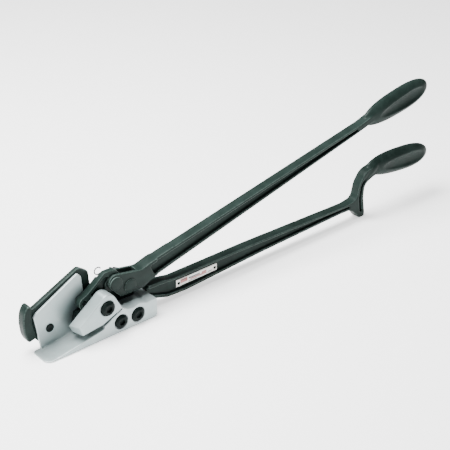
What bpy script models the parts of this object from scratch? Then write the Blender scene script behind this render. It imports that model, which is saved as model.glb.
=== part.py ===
"""Two-handled tensioner for steel strapping.

A silver shoe lies on the load, with the strap on its ramp. The lower handle is
one forging with the side frame behind the shoe. The upper handle turns on the
main pivot and drives a curved arm, whose jaw pushes the strap along the ramp.
A teardrop dog on the shoe holds the strap between strokes.

Lengths are in millimetres until metres() turns them into Blender's units.
X runs from the nose to the grips, Y across the tool and Z up from the sole.
"""
import math

import bmesh
import bpy
from mathutils import Matrix, Vector

MM = 0.001
ORIGIN_X = 70.0            # the origin is at the middle of the sole
ORIGIN_Y = 3.6

FIT = 0.3                  # gap between pieces that touch
ARC_STEP = math.radians(18.0)
ROUND_SEGMENTS = 20

# Layers across the tool, near side first.
SHOE_NEAR = -12.0
SHOE_FAR = 19.2
DOG_NEAR = -11.0
DOG_FAR = 2.2
DOG_RIM_FAR = 5.9
WEB_NEAR = 2.5
WEB_FAR = 5.7
NEAR_EAR = (2.5, 6.0)
ARM_NEAR = 6.4
ARM_FAR = 15.6
FAR_EAR = (16.0, 19.5)
PLATE_NEAR = 16.2
PLATE_FAR = 19.4
FRAME_NEAR = 19.8
FRAME_FAR = 26.3
HANDLE_MID = 11.0
BEAM_WIDTH = 14.0
BEAM_WEB = 5.0
BEAM_NEAR = HANDLE_MID - BEAM_WIDTH / 2
BEAM_FAR = HANDLE_MID + BEAM_WIDTH / 2

# Axes, as (x, z).
MAIN_PIVOT = (119.5, 46.5)
DRIVE_PIVOT = (100.0, 56.5)
JAW_PIVOT = (59.2, 44.5)
DOG_PIVOT = (78.2, 38.4)
FRONT_SCREW = (95.4, 13.8)
REAR_SCREW = (119.2, 14.0)
NOSE_RIVET = (17.6, 25.0)
NAMEPLATE_RIVETS = ((194.2, 17.2), (250.8, 18.0))

PIVOT_PIN_RADIUS = 6.0
DRIVE_PIN_RADIUS = 5.5
JAW_PIN_RADIUS = 3.0
SCREW_SHANK_RADIUS = 5.0
DOG_BUSH_RADIUS = 7.0
ARM_BUSH_RADIUS = 7.4
NOSE_RIVET_RADIUS = 4.0
NOSE_RIVET_HEAD_RADIUS = 5.2
PLATE_RIVET_RADIUS = 1.1
PLATE_RIVET_HEAD_RADIUS = 1.9


# --- scene, materials and helpers ---------------------------------------

def clear_scene():
    for item in list(bpy.data.objects):
        bpy.data.objects.remove(item, do_unlink=True)


def new_collection(name):
    collection = bpy.data.collections.new(name)
    bpy.context.scene.collection.children.link(collection)
    return collection


def material(name, colour, roughness, metallic):
    result = bpy.data.materials.new(name)
    result.use_nodes = True
    shader = result.node_tree.nodes["Principled BSDF"]
    shader.inputs["Base Color"].default_value = (*colour, 1.0)
    shader.inputs["Roughness"].default_value = roughness
    shader.inputs["Metallic"].default_value = metallic
    result.diffuse_color = (*colour, 1.0)
    return result


def metres(x, y, z):
    return Vector(((x - ORIGIN_X) * MM, (y - ORIGIN_Y) * MM, z * MM))


def finish(item, finish_material, collection):
    collection.objects.link(item)
    item.data.materials.clear()
    item.data.materials.append(finish_material)
    item.data.shade_smooth()
    item.data.set_sharp_from_angle(angle=math.radians(32.0))
    return item


def fillet(before, corner, after, radius):
    """The arc of the given radius that rounds one corner of an outline."""
    to_before = (before - corner).normalized()
    to_after = (after - corner).normalized()
    half = math.acos(max(-1.0, min(1.0, to_before.dot(to_after)))) / 2
    reach = radius / math.tan(half)
    centre = corner + (to_before + to_after).normalized() * radius / math.sin(half)
    start = corner + to_before * reach - centre
    end = corner + to_after * reach - centre
    sweep = start.angle_signed(end)
    steps = max(1, math.ceil(abs(sweep) / ARC_STEP))
    turns = [Matrix.Rotation(-sweep * i / steps, 2) for i in range(steps + 1)]
    return [centre + turn @ start for turn in turns]


def rounded(outline):
    """An outline's points with its corners, given as (x, z, radius), made round."""
    corners = [Vector(point[:2]) for point in outline]
    points = []
    for i, point in enumerate(outline):
        if len(point) == 2:
            points.append(corners[i])
        else:
            after = corners[(i + 1) % len(corners)]
            points += fillet(corners[i - 1], corners[i], after, point[2])
    return points


def curve_to_mesh(item):
    """Turn a curve object into a mesh object with its caps welded."""
    bpy.context.scene.collection.objects.link(item)
    bpy.context.view_layer.update()
    evaluated = item.evaluated_get(bpy.context.evaluated_depsgraph_get())
    mesh = bpy.data.meshes.new_from_object(evaluated)
    shape = bmesh.new()
    shape.from_mesh(mesh)
    bmesh.ops.remove_doubles(shape, verts=shape.verts, dist=0.00001)
    shape.to_mesh(mesh)
    shape.free()
    result = bpy.data.objects.new(item.name, mesh)
    result.matrix_world = item.matrix_world.copy()
    name = item.name
    bpy.data.objects.remove(item, do_unlink=True)
    result.name = name
    return result


def slab(name, outline, near, far, collection, finish_material, pivot=(0.0, 0.0), edge=0.0):
    """A flat piece: an outline in X and Z, extruded across the tool."""
    curve = bpy.data.curves.new(name, "CURVE")
    curve.dimensions = "2D"
    curve.fill_mode = "BOTH"
    curve.extrude = ((far - near) / 2 - edge) * MM
    curve.bevel_depth = edge * MM
    curve.bevel_resolution = 0
    curve.offset = -edge * MM
    curve.render_resolution_u = 0
    points = rounded(outline)
    spline = curve.splines.new("POLY")
    spline.points.add(len(points) - 1)
    for target, point in zip(spline.points, points):
        target.co = ((point.x - pivot[0]) * MM, (point.y - pivot[1]) * MM, 0.0, 1.0)
    spline.use_cyclic_u = True
    item = bpy.data.objects.new(name, curve)
    item.location = metres(pivot[0], (near + far) / 2, pivot[1])
    item.rotation_euler = (math.pi / 2, 0.0, 0.0)
    return finish(curve_to_mesh(item), finish_material, collection)


def turned(name, profile, axis, collection, finish_material):
    """A turned piece: (radius, y) from its far end to its near end, round axis."""
    middle = (profile[0][1] + profile[-1][1]) / 2
    mesh = bpy.data.meshes.new(name)
    points = [(radius * MM, 0.0, (middle - y) * MM) for radius, y in reversed(profile)]
    mesh.from_pydata(points, [(i, i + 1) for i in range(len(points) - 1)], [])
    item = bpy.data.objects.new(name, mesh)
    item.location = metres(axis[0], middle, axis[1])
    item.rotation_euler = (math.pi / 2, 0.0, 0.0)
    screw = item.modifiers.new("turn", "SCREW")
    screw.steps = ROUND_SEGMENTS
    screw.render_steps = ROUND_SEGMENTS
    screw.use_merge_vertices = True
    screw.merge_threshold = 0.00001
    screw.use_smooth_shade = False
    return finish(item, finish_material, collection)


def rod(name, radius, near, far, axis, collection, finish_material, segments=ROUND_SEGMENTS):
    """A round or many-sided bar across the tool."""
    mesh = bpy.data.meshes.new(name)
    shape = bmesh.new()
    bmesh.ops.create_cone(shape, cap_ends=True, segments=segments, radius1=radius * MM,
                          radius2=radius * MM, depth=(far - near) * MM)
    shape.to_mesh(mesh)
    shape.free()
    item = bpy.data.objects.new(name, mesh)
    item.location = metres(axis[0], (near + far) / 2, axis[1])
    item.rotation_euler = (math.pi / 2, 0.0, 0.0)
    return finish(item, finish_material, collection)


SHOULDER = 2.6             # powers of the grips' oval: 2 and 2 would make an ellipse
BLUNTNESS = 2.2


def egg(name, centre, half_sizes, angle, fullness, collection, finish_material):
    """An ellipsoid, tilted in the plane of the handles and fuller at its outer end."""
    mesh = bpy.data.meshes.new(name)
    shape = bmesh.new()
    bmesh.ops.create_uvsphere(shape, u_segments=24, v_segments=16, radius=1.0,
                              matrix=Matrix.Rotation(math.pi / 2, 4, "Y"))
    for vertex in shape.verts:
        along = min(abs(vertex.co.x), 0.999)
        blunt = (1.0 - along ** SHOULDER) ** (1.0 / BLUNTNESS) / math.sqrt(1.0 - along ** 2)
        swell = blunt * (1.0 + fullness * vertex.co.x)
        vertex.co.x *= half_sizes[0] * MM
        vertex.co.y *= half_sizes[1] * swell * MM
        vertex.co.z *= half_sizes[2] * swell * MM
    shape.to_mesh(mesh)
    shape.free()
    item = bpy.data.objects.new(name, mesh)
    item.location = metres(*centre)
    item.rotation_euler = (0.0, -math.radians(angle), 0.0)
    return finish(item, finish_material, collection)


def combine(target, other, operation):
    """Join other to target, or cut it away, and keep it as a hidden guide."""
    boolean = target.modifiers.new(other.name, "BOOLEAN")
    boolean.operation = operation
    boolean.object = other
    other.hide_render = True
    other.display_type = "WIRE"


def cut(target, other):
    combine(target, other, "DIFFERENCE")


def join(target, other):
    combine(target, other, "UNION")


clear_scene()
TOOL = new_collection("strap_tensioner")
GUIDES = new_collection("cutters")

ENAMEL = material("green_black_enamel", (0.024, 0.045, 0.042), 0.34, 0.0)
SATIN = material("satin_cast_steel", (0.60, 0.64, 0.63), 0.36, 0.9)
OXIDE = material("black_oxide_steel", (0.035, 0.045, 0.045), 0.32, 0.8)
PIN_STEEL = material("hardened_pin_steel", (0.30, 0.32, 0.32), 0.30, 0.9)
SPRING_STEEL = material("spring_wire", (0.55, 0.57, 0.56), 0.28, 1.0)
LABEL = material("printed_aluminium", (0.80, 0.78, 0.72), 0.38, 0.3)


def guide_slab(name, outline, near, far, edge=0.0):
    return slab(name, outline, near, far, GUIDES, ENAMEL, edge=edge)


def plan_slab(name, outline, low, high):
    """A cutter whose outline is in X and Y, extruded upwards."""
    cutter = slab(name, outline, -high, -low, GUIDES, ENAMEL)
    cutter.location = metres(0.0, 0.0, (low + high) / 2)
    cutter.rotation_euler = (0.0, 0.0, 0.0)
    return cutter


def hole(target, name, radius, near, far, axis, segments=ROUND_SEGMENTS):
    cut(target, rod(name, radius, near, far, axis, GUIDES, ENAMEL, segments))


# --- base shoe -----------------------------------------------------------

SHOE_FRONT = -5.5
SHOE_REAR = 146.7
RAMP_START = (8.0, 2.4)
RAMP_END = (70.6, 13.2)
RELIEF_FLOOR = 20.5
COUNTERBORE_RADIUS = 9.6
COUNTERBORE_DEPTH = 2.2
DOG_SEAT_DEPTH = 1.6
NEAR_CORNER_RADIUS = 9.0
FAR_CORNER_RADIUS = 4.0
SLIVER = 0.05              # keeps a cutter's faces off the faces it starts from
HEAD_RELIEF_NEAR = -0.7    # room for the drive pin's head, which sweeps past


def make_base_shoe():
    side = [(SHOE_FRONT, 0.0), (SHOE_REAR, 0.0, 5.0), (SHOE_REAR, 25.2, 1.2), (133.2, 24.6, 12.0),
            (124.5, 27.4, 12.0), (115.7, 25.8, 12.0), (105.6, 27.0, 8.0), (100.0, 30.2, 2.0),
            (85.3, 24.4), (72.6, 16.8, 0.8), (72.6, 13.7, 2.0), RAMP_END, RAMP_START, (SHOE_FRONT, 1.4)]
    shoe = slab("base_shoe", side, SHOE_NEAR, SHOE_FAR, TOOL, SATIN, edge=0.3)

    # The front of the sole is round at its corners, seen from above.
    beyond = 12.0
    for label, edge_y, out in (("near", SHOE_NEAR, -1.0), ("far", SHOE_FAR, 1.0)):
        radius = NEAR_CORNER_RADIUS if label == "near" else FAR_CORNER_RADIUS
        inner = SHOE_FRONT + radius + 1.0
        corner = [(SHOE_FRONT - beyond, edge_y + out * beyond), (inner, edge_y + out * beyond),
                  (inner, edge_y + out * SLIVER), (SHOE_FRONT - SLIVER, edge_y + out * SLIVER, radius),
                  (SHOE_FRONT - SLIVER, edge_y - out * (radius + 1.0)),
                  (SHOE_FRONT - beyond, edge_y - out * (radius + 1.0))]
        cut(shoe, plan_slab("shoe_corner_" + label, corner, -5.0, 12.0))

    # Behind the near wall the block is low, so that the ears and the arm can drop.
    relief = [(69.4, 13.7), (84.0, 16.6), (92.0, RELIEF_FLOOR), (134.0, RELIEF_FLOOR),
              (137.0, 30.0), (137.0, 60.0), (69.4, 60.0)]
    cut(shoe, guide_slab("arm_relief", relief, WEB_FAR, SHOE_FAR + 5.0))
    ear_relief = [(91.0, RELIEF_FLOOR), (134.0, RELIEF_FLOOR), (137.0, 30.0), (137.0, 60.0), (91.0, 60.0)]
    cut(shoe, guide_slab("ear_relief", ear_relief, DOG_FAR, WEB_FAR + 1.0))

    head_relief = [(90.6, 60.0), (90.6, 31.0), (95.0, 25.0, 4.0), (108.0, 25.0, 4.0), (111.6, 31.0),
                   (111.6, 60.0)]
    cut(shoe, guide_slab("head_relief", head_relief, HEAD_RELIEF_NEAR, DOG_FAR + 0.5))

    web = [(70.0, 6.0), (88.0, 6.0), (88.0, 24.0), (85.6, 38.0, 6.0), (84.4, 45.4, 5.0),
           (72.4, 45.4, 5.0), (71.0, 30.0)]
    join(shoe, guide_slab("dog_web", web, WEB_NEAR, WEB_FAR + 0.2))

    plate = [(5.0, 0.8), (-1.3, 45.6, 1.5), (2.8, 49.8, 2.0), (59.0, 79.4, 2.5), (63.2, 74.0, 3.0),
             (64.6, 57.0, 15.0), (68.0, 32.0, 20.0), (80.0, 17.0, 8.0), (80.0, 0.8)]
    join(shoe, guide_slab("side_plate", plate, PLATE_NEAR, PLATE_FAR, edge=0.3))

    for name, axis in (("front", FRONT_SCREW), ("rear", REAR_SCREW)):
        hole(shoe, name + "_screw_hole", SCREW_SHANK_RADIUS + FIT, -20.0, 30.0, axis)
        hole(shoe, name + "_counterbore", COUNTERBORE_RADIUS, SHOE_NEAR - 3.0,
             SHOE_NEAR + COUNTERBORE_DEPTH, axis)
    hole(shoe, "dog_screw_thread", SCREW_SHANK_RADIUS + FIT, WEB_NEAR - 2.0, WEB_FAR + 2.0, DOG_PIVOT)
    hole(shoe, "nose_rivet_hole", NOSE_RIVET_RADIUS + FIT, PLATE_NEAR - 2.0, PLATE_FAR + 2.0, NOSE_RIVET)
    return shoe


# --- lower handle and side frame, one forging ------------------------------

BUMPER_FAR = 29.4
GRIP_HALF_THICKNESS = 10.5
GRIP_FULLNESS = 0.09       # how much wider a grip is towards its outer end
DISH_FULLNESS = 0.28
DISH_SHIFT = (5.0, -1.2)   # from the grip's middle, along the grip and up
DISH_OVERHANG = 1.4        # the dish cutter's middle, outside the grip's side
DISH_SHARE = (0.87, 0.60)  # of the grip's length and height
DISH_REACH = 6.2


def sink(target, name, outline, side):
    """Sink a pocket into one side of a beam, down to its web."""
    half_web = BEAM_WEB / 2
    if side == "near":
        span = (BEAM_NEAR - 4.0, HANDLE_MID - half_web)
    else:
        span = (HANDLE_MID + half_web, BEAM_FAR + 4.0)
    cut(target, guide_slab(name + "_" + side, outline, *span))


def beam_recess(target, name, outline):
    sink(target, name, outline, "near")
    sink(target, name, outline, "far")


def grip(target, name, centre, angle, half_length, half_height):
    """A flattened oval grip with a dished hollow on each side."""
    half_thickness = GRIP_HALF_THICKNESS
    middle = (centre[0], HANDLE_MID, centre[1])
    body = egg(name + "_body", middle, (half_length, half_thickness, half_height), angle, GRIP_FULLNESS,
               GUIDES, ENAMEL)
    join(target, body)
    dish_x = centre[0] + DISH_SHIFT[0] * math.cos(math.radians(angle))
    dish_z = centre[1] + DISH_SHIFT[0] * math.sin(math.radians(angle)) + DISH_SHIFT[1]
    dish_sizes = (half_length * DISH_SHARE[0], DISH_REACH, half_height * DISH_SHARE[1])
    dish_y = half_thickness + DISH_OVERHANG
    for side, offset in (("near", -dish_y), ("far", dish_y)):
        dish = egg(name + "_dish_" + side, (dish_x, HANDLE_MID + offset, dish_z), dish_sizes,
                   angle, DISH_FULLNESS, GUIDES, ENAMEL)
        cut(target, dish)


def make_lower_handle_frame():
    beam = [(147.2, 33.6), (169.0, 32.8, 12.0), (184.0, 29.8, 30.0), (300.0, 30.4, 300.0),
            (480.0, 27.4, 10.0), (500.0, 30.4, 10.0), (505.0, 52.0, 24.0), (516.0, 67.5, 20.0),
            (548.0, 73.5), (548.0, 57.0),
            (533.0, 55.8, 9.0), (515.5, 49.0, 12.0), (514.4, 29.0, 40.0), (517.8, 8.0, 20.0),
            (518.3, 0.0, 3.0),
            (507.6, 0.0, 5.0), (499.0, 10.5, 9.0), (488.0, 18.0, 14.0), (470.0, 18.2, 60.0),
            (325.0, 12.6, 200.0), (236.0, 7.2, 80.0), (203.0, 5.4, 50.0), (175.0, 6.6, 22.0),
            (147.2, 15.6)]
    handle = slab("lower_handle_frame", beam, BEAM_NEAR, BEAM_FAR, TOOL, ENAMEL, edge=1.0)
    frame = [(-6.0, 23.0), (-6.0, 51.6), (62.6, 83.8, 5.0), (75.4, 75.0, 5.0), (77.0, 56.0, 14.0),
             (85.0, 40.0, 10.0), (103.0, 40.0, 8.0), (107.0, 58.8, 11.0), (132.0, 58.8, 11.0),
             (141.0, 37.0, 16.0), (168.0, 32.0), (168.0, 9.6), (150.0, 14.0, 10.0), (138.0, 1.0, 8.0),
             (12.0, 1.0, 8.0)]
    join(handle, guide_slab("side_frame", frame, FRAME_NEAR, FRAME_FAR, edge=0.6))
    bridge = [(151.0, 32.0), (165.0, 31.6), (165.0, 11.6), (151.0, 16.0)]
    join(handle, guide_slab("frame_bridge", bridge, HANDLE_MID, FRAME_FAR - 1.5))
    bumper = [(-4.8, 64.4, 3.0), (-12.4, 54.0, 22.0), (-14.4, 40.0, 40.0), (-13.0, 24.0, 22.0),
              (-8.6, 14.2, 3.0), (-4.6, 16.8, 2.0), (-0.6, 16.8, 1.8), (-0.6, 25.0, 2.0),
              (-3.6, 40.0, 50.0), (-1.8, 57.6, 2.0)]
    join(handle, guide_slab("nose_bumper", bumper, PLATE_NEAR + 0.6, BUMPER_FAR, edge=1.4))

    hole(handle, "pivot_bore", PIVOT_PIN_RADIUS + FIT, FRAME_NEAR - 3.0, FRAME_FAR + 3.0, MAIN_PIVOT)
    hole(handle, "rivet_bore", NOSE_RIVET_RADIUS + FIT, FRAME_NEAR - 3.0, FRAME_FAR + 3.0, NOSE_RIVET)
    for name, axis in (("front", FRONT_SCREW), ("rear", REAR_SCREW)):
        hole(handle, name + "_thread", SCREW_SHANK_RADIUS + FIT, FRAME_NEAR - 3.0, FRAME_FAR + 3.0, axis)
    for i, axis in enumerate(NAMEPLATE_RIVETS):
        hole(handle, "nameplate_bore_%d" % i, PLATE_RIVET_RADIUS + FIT, 5.0, 17.0, axis, 10)
    rest = [(300.0, 26.8, 200.0), (487.0, 24.2, 1.4), (489.0, 21.6, 1.2), (470.0, 21.6, 60.0),
            (325.0, 16.4, 200.0), (236.0, 11.2, 80.0), (203.0, 9.4, 46.0)]
    near_root = [(144.0, 28.8), (172.0, 27.8, 20.0), (188.0, 26.2, 40.0)]
    far_root = [(170.0, 27.4, 2.5), (188.0, 26.2, 40.0)]
    sink(handle, "lower_recess", near_root + rest + [(177.0, 10.8, 20.0), (144.0, 21.0)], "near")
    sink(handle, "lower_recess", far_root + rest + [(180.0, 10.6, 22.0), (170.0, 14.4, 2.5)], "far")
    beam_recess(handle, "bend_recess",
                [(508.5, 9.0, 1.8), (505.0, 30.0, 20.0), (508.6, 51.0, 18.0), (521.5, 62.6, 2.0),
                 (524.5, 59.4, 1.5), (512.8, 48.5, 10.0), (509.8, 30.0, 30.0), (512.9, 9.0, 1.8)])
    join(handle, egg("lower_neck", (531.0, HANDLE_MID, 64.2), (21.0, 7.8, 8.4), 33.0, 0.0, GUIDES, ENAMEL))
    grip(handle, "lower_grip", (585.5, 63.2), -4.0, 61.5, 17.9)
    return handle


# --- upper handle ----------------------------------------------------------

CLEVIS_BACK = 131.5


def make_upper_handle():
    head = [(91.0, 69.6, 10.0), (137.0, 60.6, 14.0), (152.0, 65.4, 30.0), (185.0, 72.6), (185.0, 50.4),
            (152.0, 42.0, 30.0), (139.0, 35.8, 14.0), (106.6, 35.8, 6.0), (90.4, 54.5, 8.0)]
    handle = slab("upper_handle", head, NEAR_EAR[0], FAR_EAR[1], TOOL, ENAMEL,
                  pivot=MAIN_PIVOT, edge=0.8)
    taper = [(160.0, 40.0), (200.0, 40.0), (200.0, 90.0), (160.0, 90.0)]
    cut(handle, guide_slab("head_end_near", taper, -5.0, BEAM_NEAR))
    cut(handle, guide_slab("head_end_far", taper, BEAM_FAR, 25.0))
    slot = [(70.0, 10.0), (CLEVIS_BACK, 10.0, 3.0), (CLEVIS_BACK, 90.0, 3.0), (70.0, 90.0)]
    cut(handle, guide_slab("clevis_slot", slot, NEAR_EAR[1], FAR_EAR[0]))
    hole(handle, "ear_pivot_bore", PIVOT_PIN_RADIUS + FIT, -5.0, 25.0, MAIN_PIVOT)
    hole(handle, "ear_drive_bore", DRIVE_PIN_RADIUS + FIT, -5.0, 25.0, DRIVE_PIVOT)

    beam = [(150.0, 64.6), (502.0, 141.2, 20.0), (541.0, 154.0), (543.0, 143.4), (497.0, 130.4, 20.0),
            (150.0, 41.4)]
    join(handle, guide_slab("upper_beam", beam, BEAM_NEAR, BEAM_FAR, edge=1.0))
    beam_recess(handle, "upper_recess",
                [(149.5, 60.2, 3.0), (496.0, 136.2, 1.4), (496.0, 132.9, 1.2), (155.5, 47.2, 3.0)])
    grip(handle, "upper_grip", (573.0, 151.6), 10.5, 62.5, 18.4)
    return handle


# --- gripper arm, jaw and their spring --------------------------------------

SPRING_WIRE = 1.4
SPRING_RADIUS = 8.4
SPRING_Y = 14.6
SPRING_LEAVE_ANGLE = 128.0 # where the wire leaves the coil
SPRING_COIL_STEPS = 30
SPRING_RISE = 0.65         # how far the coil climbs in its turn
HOOK_CENTRE = (84.6, 73.6)
HOOK_RADIUS = 4.4
HOOK_START = -62.0
HOOK_SWEEP = 272.0
HOOK_STEPS = 16
FORK_NEAR = 8.9
FORK_FAR = 13.1


def make_gripper_arm():
    side = [(111.0, 62.0, 9.0), (103.0, 72.6, 7.0), (88.0, 73.4, 8.0), (74.0, 62.0, 40.0),
            (63.0, 53.8, 20.0), (52.4, 49.4, 7.0), (52.0, 37.2, 6.6), (64.6, 36.4, 7.0),
            (73.5, 44.8, 20.0), (92.0, 46.4, 10.0), (100.0, 44.6, 9.0), (111.0, 47.4, 9.0)]
    arm = slab("gripper_arm", side, ARM_NEAR, ARM_FAR, TOOL, ENAMEL, pivot=DRIVE_PIVOT, edge=0.7)
    pocket = [(96.0, 67.2, 2.0), (87.0, 67.4, 6.0), (74.5, 57.6, 20.0), (67.0, 51.5, 1.2),
              (72.0, 49.0, 3.0), (88.0, 50.0, 2.0), (87.5, 58.0, 6.0)]
    cut(arm, guide_slab("arm_pocket", pocket, ARM_NEAR - 3.0, ARM_NEAR + 3.0))
    fork = [(54.0, 29.0), (66.8, 29.0), (66.8, 46.0, 4.0), (64.8, 49.8, 3.0), (54.0, 49.8, 5.0)]
    cut(arm, guide_slab("arm_fork", fork, FORK_NEAR, FORK_FAR))
    hole(arm, "arm_bore", ARM_BUSH_RADIUS + FIT, ARM_NEAR - 3.0, ARM_FAR + 3.0, DRIVE_PIVOT)
    hole(arm, "spring_pocket", SPRING_RADIUS + SPRING_WIRE, SPRING_Y - SPRING_WIRE, ARM_FAR + 3.0,
         DRIVE_PIVOT)
    spring_exit = [(82.0, 64.0), (100.0, 60.0), (100.0, 80.0), (78.0, 80.0)]
    cut(arm, guide_slab("spring_exit", spring_exit, SPRING_Y - SPRING_WIRE, ARM_FAR + 3.0))
    hole(arm, "jaw_pin_bore", JAW_PIN_RADIUS + FIT, ARM_NEAR - 3.0, ARM_FAR + 3.0, JAW_PIVOT)
    return arm


def make_gripper_jaw():
    toe_left = Vector((43.6, 12.0))
    toe_right = Vector((54.2, 14.4))
    teeth = 5
    along = (toe_right - toe_left) / teeth
    toe = []
    for i in range(teeth):
        tip = toe_left + along * (i + 0.75)
        toe += [tuple(toe_left + along * i), (tip.x + 0.2, tip.y - 0.9)]
    side = [(48.8, 35.0, 3.0)] + toe + [tuple(toe_right), (62.8, 32.0, 3.0), (61.2, 35.4, 1.5)]
    jaw = slab("gripper_jaw", side, ARM_NEAR + 0.2, ARM_FAR - 0.2, TOOL, OXIDE, pivot=JAW_PIVOT)
    tongue = [(56.2, 31.0), (54.4, 43.4), (54.4, 49.2, 4.8), (64.4, 49.2, 4.8), (64.4, 43.0, 7.0),
              (61.2, 31.0)]
    join(jaw, guide_slab("jaw_tongue", tongue, FORK_NEAR + FIT, FORK_FAR - FIT))
    hole(jaw, "jaw_bore", JAW_PIN_RADIUS + FIT, ARM_NEAR, ARM_FAR, JAW_PIVOT)
    return jaw


def make_arm_spring():
    """A coil round the drive pin, whose free end curls up over the arm."""
    points = []
    leave_angle = math.radians(SPRING_LEAVE_ANGLE)
    leave_y = SPRING_Y + 0.3
    for i in range(SPRING_COIL_STEPS + 1):
        left = 1 - i / SPRING_COIL_STEPS
        angle = leave_angle - 2 * math.pi * left
        points.append((DRIVE_PIVOT[0] + SPRING_RADIUS * math.cos(angle), leave_y - SPRING_RISE * left,
                       DRIVE_PIVOT[1] + SPRING_RADIUS * math.sin(angle)))
    for i in range(HOOK_STEPS + 1):
        angle = math.radians(HOOK_START - HOOK_SWEEP * i / HOOK_STEPS)
        points.append((HOOK_CENTRE[0] + HOOK_RADIUS * math.cos(angle), leave_y,
                       HOOK_CENTRE[1] + HOOK_RADIUS * math.sin(angle)))
    curve = bpy.data.curves.new("arm_spring", "CURVE")
    curve.dimensions = "3D"
    curve.bevel_depth = SPRING_WIRE / 2 * MM
    curve.bevel_resolution = 1
    curve.use_fill_caps = True
    curve.render_resolution_u = 0
    spline = curve.splines.new("POLY")
    spline.points.add(len(points) - 1)
    start = metres(DRIVE_PIVOT[0], SPRING_Y, DRIVE_PIVOT[1])
    for target, point in zip(spline.points, points):
        target.co = (*(metres(*point) - start), 1.0)
    item = bpy.data.objects.new("arm_spring", curve)
    item.location = start
    return finish(curve_to_mesh(item), SPRING_STEEL, TOOL)


# --- holding dog -------------------------------------------------------------

HEAD_RELIEF_RADIUS = 32.8  # round the main pivot, clear of the ears and the drive pin's head
WEB_RELIEF_RADIUS = 10.4   # round the dog's pivot, clear of the shoe's web
TIP_LENGTH_X = 50.0        # in front of here the dog's tip is askew
TIP_SKEW = 4.2             # how far the tip's far side stands in front of its near side
TIP_LOW = (15.8, 0.12)     # the tip's lower corner: its height, and the slope of the edge there
TIP_HIGH = (28.1, 0.75)


def make_holding_dog():
    side = [(39.8, 28.1, 1.8), (43.6, 15.8, 1.2), (70.8, 19.0, 2.0), (98.9, 30.4, 1.2),
            (93.2, 41.4, 14.0), (88.0, 51.4, 10.0), (78.0, 57.4, 10.0), (69.6, 50.4, 12.0)]
    dog = slab("holding_dog", side, DOG_NEAR, DOG_RIM_FAR, TOOL, SATIN, pivot=DOG_PIVOT, edge=0.9)
    middle = (DOG_NEAR + DOG_RIM_FAR) / 2
    for vertex in dog.data.vertices:
        if DOG_PIVOT[0] + vertex.co.x / MM < TIP_LENGTH_X:
            share = (middle - vertex.co.z / MM - DOG_NEAR) / (DOG_RIM_FAR - DOG_NEAR)
            rise = (DOG_PIVOT[1] + vertex.co.y / MM - TIP_LOW[0]) / (TIP_HIGH[0] - TIP_LOW[0])
            slope = TIP_LOW[1] + rise * (TIP_HIGH[1] - TIP_LOW[1])
            vertex.co.x -= TIP_SKEW * share * MM
            vertex.co.y -= TIP_SKEW * share * slope * MM

    # Only the tip and the rim over the web keep the dog's full width.
    web_relief = [(61.0, 10.0), (61.0, 17.8), (66.0, 30.0)]
    for degrees in range(170, 40, -20):
        angle = math.radians(degrees)
        web_relief.append((DOG_PIVOT[0] + WEB_RELIEF_RADIUS * math.cos(angle),
                           DOG_PIVOT[1] + WEB_RELIEF_RADIUS * math.sin(angle)))
    web_relief += [(96.0, 62.0), (115.0, 62.0), (115.0, 10.0)]
    cut(dog, guide_slab("dog_web_relief", web_relief, DOG_FAR, DOG_RIM_FAR + 2.0))
    hole(dog, "dog_bore", DOG_BUSH_RADIUS + FIT, DOG_NEAR - 3.0, DOG_FAR + 1.0, DOG_PIVOT)
    hole(dog, "dog_counterbore", COUNTERBORE_RADIUS, DOG_NEAR - 3.0, DOG_NEAR + DOG_SEAT_DEPTH, DOG_PIVOT)
    hole(dog, "dog_head_relief", HEAD_RELIEF_RADIUS, HEAD_RELIEF_NEAR, DOG_RIM_FAR + 2.0, MAIN_PIVOT, 48)
    return dog


# --- screws, pins, bushings and rivets ----------------------------------------

WASHER_RADIUS = 11.0
WASHER = (FRAME_FAR + 0.4, FRAME_FAR + 2.0)
NUT_RADIUS = 10.6
NUT = (FRAME_FAR + 2.4, FRAME_FAR + 9.3)
PIN_END = FRAME_FAR + 10.1
SOCKET_DEPTH = 0.62        # of the head's height
RIM_HEIGHT = 0.25          # of the head's height, below its dome


def arc_profile(radius, height, start_y, steps):
    """A low dome, from its rim to its top, as (radius, y) points."""
    return [(radius * math.cos(math.pi / 2 * i / steps), start_y - height * math.sin(math.pi / 2 * i / steps))
            for i in range(1, steps + 1)]


def button_screw(name, axis, head_radius, head_height, seat, end, socket):
    """A button-head screw with a hexagon socket. Its head stands towards the near side."""
    rim = seat - head_height * RIM_HEIGHT
    profile = [(0.0, end), (SCREW_SHANK_RADIUS, end), (SCREW_SHANK_RADIUS, seat),
               (head_radius, seat), (head_radius, rim)]
    profile += arc_profile(head_radius, head_height * (1 - RIM_HEIGHT), rim, 6)
    profile[-1] = (0.0, profile[-1][1])
    screw = turned(name, profile, axis, TOOL, OXIDE)
    top = seat - head_height
    hole(screw, name + "_socket", socket, top - 2.0, top + head_height * SOCKET_DEPTH, axis, 6)
    return screw


def headed_pin(name, axis, radius, near, far, head_radius, head_near, finish_material):
    """A round pin with a flat, slightly domed head on the near side."""
    profile = [(0.0, far), (radius - 0.5, far), (radius, far - 0.5), (radius, near),
               (head_radius, near), (head_radius, head_near + 0.7), (head_radius - 1.4, head_near),
               (0.0, head_near)]
    return turned(name, profile, axis, TOOL, finish_material)


def bushing(name, axis, outer, inner, near, far, finish_material):
    item = rod(name, outer, near, far, axis, TOOL, finish_material)
    hole(item, name + "_bore", inner, near - 2.0, far + 2.0, axis)
    return item


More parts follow.
